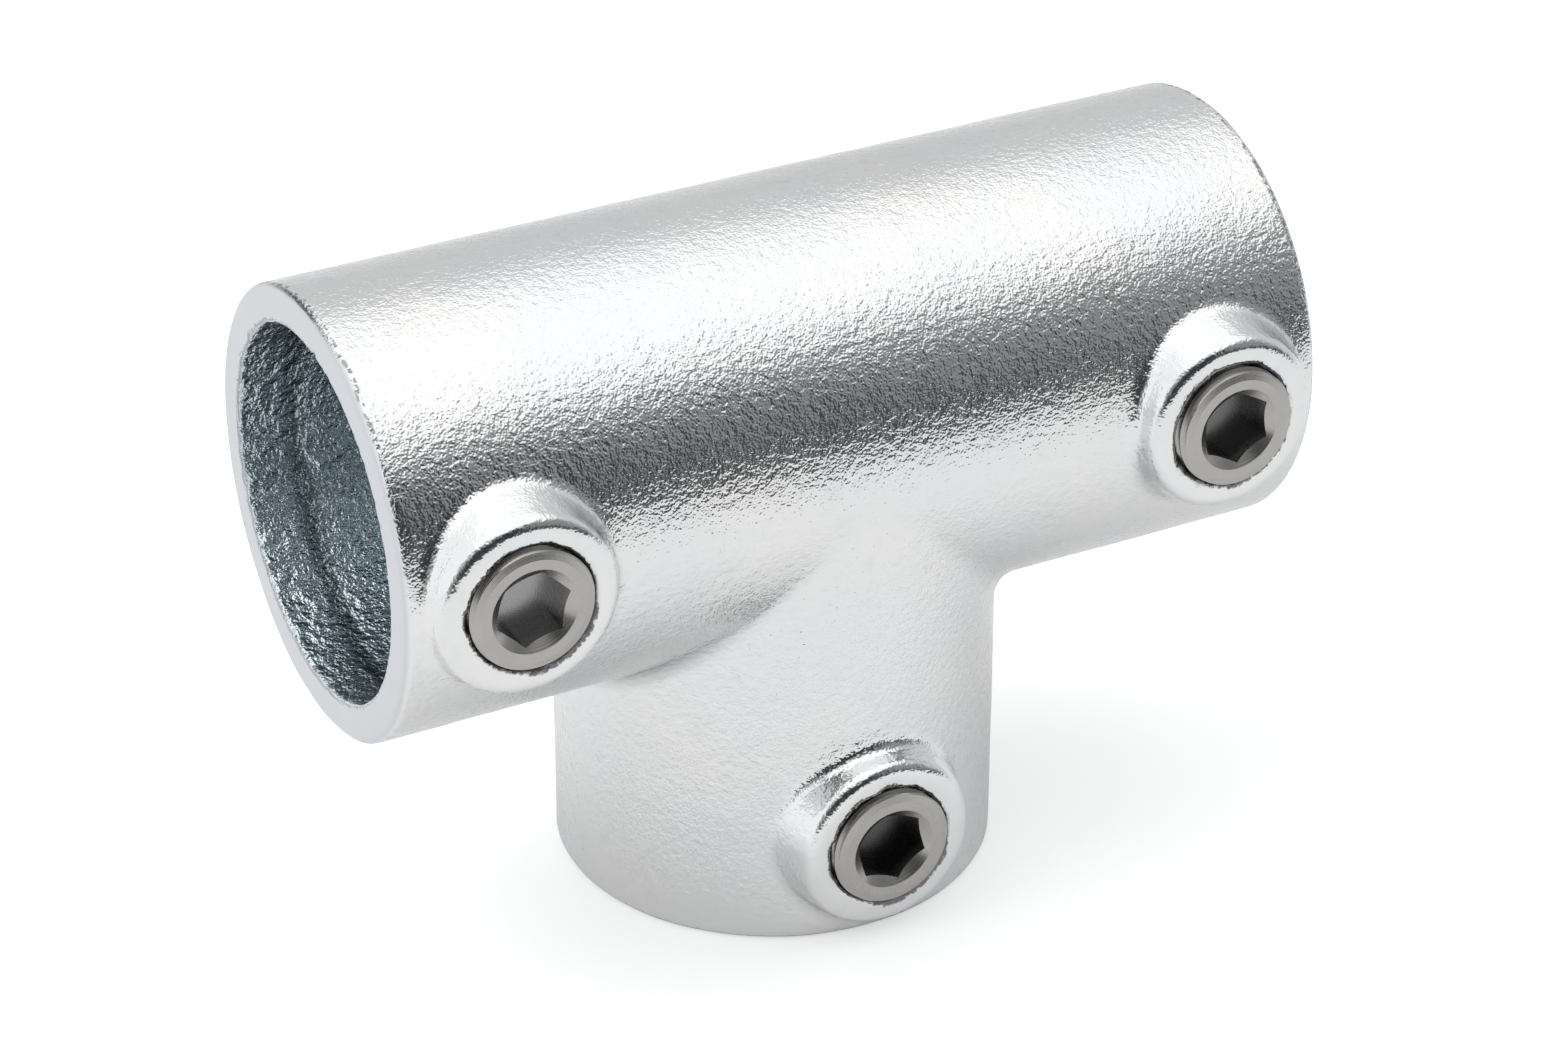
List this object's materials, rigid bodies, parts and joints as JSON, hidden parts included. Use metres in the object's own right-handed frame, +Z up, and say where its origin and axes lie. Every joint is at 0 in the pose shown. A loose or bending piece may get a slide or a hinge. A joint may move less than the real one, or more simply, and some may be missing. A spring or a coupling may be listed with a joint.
{
  "type": "tube clamp tee fitting",
  "caption": "Cast tee fitting that joins round tubes at a right angle, with a boss and a hexagon-socket set screw behind each open socket.",
  "frame": {"origin": "centre of the branch mouth, on which the fitting stands", "axes": "+Z up the branch to the run, +X along the run to its right mouth, -Y out of the screw bosses"},
  "size_m": [0.131, 0.0651, 0.0955],
  "materials": {
    "galvanised_casting": "bright zinc over a cast skin",
    "screw_steel": "turned stainless steel"
  },
  "bodies": {
    "casting": {"tee_casting": "galvanised_casting"},
    "left_screw": {"set_screw_left": "screw_steel"},
    "right_screw": {"set_screw_right": "screw_steel"},
    "branch_screw": {"set_screw_branch": "screw_steel"}
  },
  "joints": [
    {"name": "left_screw_travel", "type": "slide", "parent": "casting", "child": "left_screw", "axis": [0, 1, 0], "range_m": [-0.0048, 0.0021]},
    {"name": "right_screw_travel", "type": "slide", "parent": "casting", "child": "right_screw", "axis": [0, 1, 0], "range_m": [-0.0042, 0.0027]},
    {"name": "branch_screw_travel", "type": "slide", "parent": "casting", "child": "branch_screw", "axis": [0, 1, 0], "range_m": [-0.0046, 0.0023]}
  ]
}
